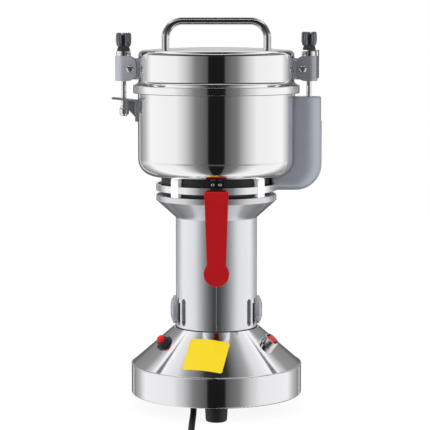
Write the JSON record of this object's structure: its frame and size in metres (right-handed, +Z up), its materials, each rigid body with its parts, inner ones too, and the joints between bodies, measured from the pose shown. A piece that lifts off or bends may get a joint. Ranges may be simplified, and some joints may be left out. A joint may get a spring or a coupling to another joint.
{
  "type": "electric grain mill",
  "caption": "Upright electric grain mill: round base, motor column, tilting steel bowl with clamped lid, side housing, red lever, rocker switch and coiled cord.",
  "frame": {"origin": "on the vertical axis of base, column and bowl, at floor level", "axes": "+Z up along the motor axis, -Y towards the front with the lever, +X to the right towards the side housing"},
  "size_m": [0.2488, 0.4198, 0.4666],
  "materials": {
    "brushed_steel": "brushed",
    "polished_steel": "mirror polish",
    "clamp_steel": "satin",
    "bright_hardware": "bright",
    "blade_steel": "ground",
    "cast_aluminium": "cast",
    "housing_grey": "satin",
    "lever_red": "smooth",
    "button_red": "gloss",
    "black_plastic": "moulded",
    "black_rubber": "matt",
    "black_paint": "matt",
    "plate_grey": "satin",
    "silicone": "matt",
    "white_plastic": "moulded",
    "carbon": "pressed carbon",
    "lamination_steel": "stacked sheets",
    "copper": "enamelled wire and copper bars",
    "bearing_steel": "ground",
    "coupling_black": "moulded hard rubber"
  },
  "bodies": {
    "base": {"base_shell": "brushed_steel", "base_plate": "plate_grey", "rubber_feet": "black_rubber", "base_screws": "bright_hardware", "motor_column": "brushed_steel", "column_funnel": "brushed_steel", "brush_caps": "polished_steel", "brush_cap_plugs": "black_plastic", "brush_holders": "black_plastic", "carbon_brushes": "carbon", "motor_brackets": "cast_aluminium", "motor_bearings": "bearing_steel", "stator_core": "lamination_steel", "field_coils": "copper", "tilt_hinge_base": "brushed_steel", "hinge_pin": "bright_hardware", "reset_breaker": "black_plastic", "switch_bezel": "bright_hardware", "cord_gland": "black_plastic", "cord_run": "black_rubber", "cord_coil": "black_rubber", "cord_plug": "black_plastic"},
    "rotor": {"motor_shaft": "blade_steel", "armature_core": "copper", "commutator": "copper", "cooling_fan": "black_plastic", "coupling_lower": "coupling_black"},
    "head": {"head_plate": "black_paint", "vent_ring": "brushed_steel", "collar_posts": "white_plastic", "bearing_housing": "black_paint", "blade_bearing": "bearing_steel", "bowl": "polished_steel", "shaft_seal": "silicone", "tilt_hinge_head": "brushed_steel", "lever_hinge": "clamp_steel", "bowl_lugs": "clamp_steel", "interlock_housing": "housing_grey", "interlock_switch": "black_plastic"},
    "blades": {"coupling_upper": "coupling_black", "blade_shaft": "blade_steel", "grinding_blades": "blade_steel", "blade_nut_stack": "bright_hardware"},
    "lever": {"red_lever": "lever_red"},
    "lid": {"lid_shell": "polished_steel", "lid_gasket": "silicone", "lid_handle": "polished_steel", "handle_nuts": "bright_hardware", "lid_ears": "clamp_steel", "pivot_screws": "bright_hardware"},
    "clamp_left": {"clamp_block_left": "clamp_steel", "thrust_collar_left": "polished_steel"},
    "clamp_right": {"clamp_block_right": "clamp_steel", "thrust_collar_right": "polished_steel"},
    "rod_left": {"clamp_rod_left": "bright_hardware"},
    "rod_right": {"clamp_rod_right": "bright_hardware"},
    "knob_left": {"clamp_knob_left": "black_plastic"},
    "knob_right": {"clamp_knob_right": "black_plastic"},
    "reset": {"reset_button": "button_red"},
    "rocker": {"switch_rocker": "button_red"}
  },
  "joints": [
    {"name": "head_tilt", "type": "hinge", "parent": "base", "child": "head", "pos_m": [0, 0.0795, 0.2597], "axis": [-1, 0, 0], "range_deg": [0, 85]},
    {"name": "lever_swing", "type": "hinge", "parent": "head", "child": "lever", "pos_m": [0, -0.075, 0.26], "axis": [-1, 0, 0], "range_deg": [0, 42]},
    {"name": "lid_lift", "type": "slide", "parent": "head", "child": "lid", "axis": [0, 0, 1], "range_m": [0, 0.01]},
    {"name": "clamp_left_swing", "type": "hinge", "parent": "lid", "child": "clamp_left", "pos_m": [-0.1019, 0, 0.406], "axis": [0, 1, 0], "range_deg": [0, 24]},
    {"name": "clamp_right_swing", "type": "hinge", "parent": "lid", "child": "clamp_right", "pos_m": [0.1019, 0, 0.406], "axis": [0, -1, 0], "range_deg": [0, 24]},
    {"name": "knob_left_turn", "type": "hinge", "parent": "clamp_left", "child": "knob_left", "pos_m": [-0.1098, 0, 0.4267], "axis": [0, 0, 1], "range_deg": [-1450, 730]},
    {"name": "rod_left_slide", "type": "slide", "parent": "clamp_left", "child": "rod_left", "axis": [0, 0, 1], "range_m": [-0.002, 0.004]},
    {"name": "knob_right_turn", "type": "hinge", "parent": "clamp_right", "child": "knob_right", "pos_m": [0.1098, 0, 0.4267], "axis": [0, 0, 1], "range_deg": [-1450, 730]},
    {"name": "rod_right_slide", "type": "slide", "parent": "clamp_right", "child": "rod_right", "axis": [0, 0, 1], "range_m": [-0.002, 0.004]},
    {"name": "rotor_spin", "type": "hinge", "parent": "base", "child": "rotor", "pos_m": [0, 0, 0.16], "axis": [0, 0, 1], "continuous": true},
    {"name": "blade_spin", "type": "hinge", "parent": "head", "child": "blades", "pos_m": [0, 0, 0.28], "axis": [0, 0, 1], "continuous": true},
    {"name": "reset_press", "type": "slide", "parent": "base", "child": "reset", "axis": [0.5808, 0.3088, -0.7532], "range_m": [0, 0.0024], "stiffness_N_per_m": 300},
    {"name": "switch_rock", "type": "hinge", "parent": "base", "child": "rocker", "pos_m": [0.06438, -0.03423, 0.086], "axis": [0.4695, 0.8829, 0], "range_deg": [-12, 0]}
  ],
  "couplings": [
    {"joint": "clamp_left_swing", "follows": "lid_lift", "rad_per_m": 41.804},
    {"joint": "clamp_right_swing", "follows": "lid_lift", "rad_per_m": 41.804},
    {"joint": "knob_left_turn", "follows": "rod_left_slide", "rad_per_m": -6283.2},
    {"joint": "knob_right_turn", "follows": "rod_right_slide", "rad_per_m": -6283.2},
    {"joint": "blade_spin", "follows": "rotor_spin", "ratio": 1}
  ]
}
